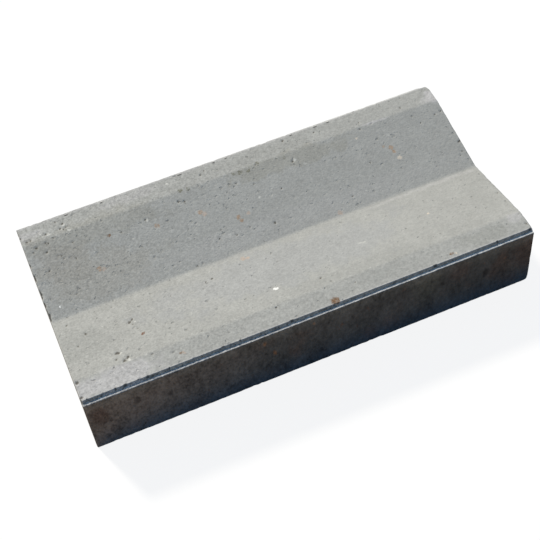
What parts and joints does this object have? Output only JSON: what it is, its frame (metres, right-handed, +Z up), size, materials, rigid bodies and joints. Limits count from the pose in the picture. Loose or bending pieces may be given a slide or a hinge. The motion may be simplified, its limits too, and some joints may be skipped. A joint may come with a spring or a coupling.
{
  "type": "concrete drainage channel",
  "caption": "Low precast concrete block with a shallow V trough pressed along its top between flat shoulders, laid end to end to lead surface water away.",
  "frame": {"origin": "centre of the flat bed face on the underside", "axes": "+X along the channel, the way the water flows; +Y across it; +Z up, out of the open trough"},
  "size_m": [0.6, 0.3, 0.1],
  "materials": {
    "concrete": "matte"
  },
  "bodies": {
    "root": {"channel_block": "concrete"}
  },
  "joints": []
}
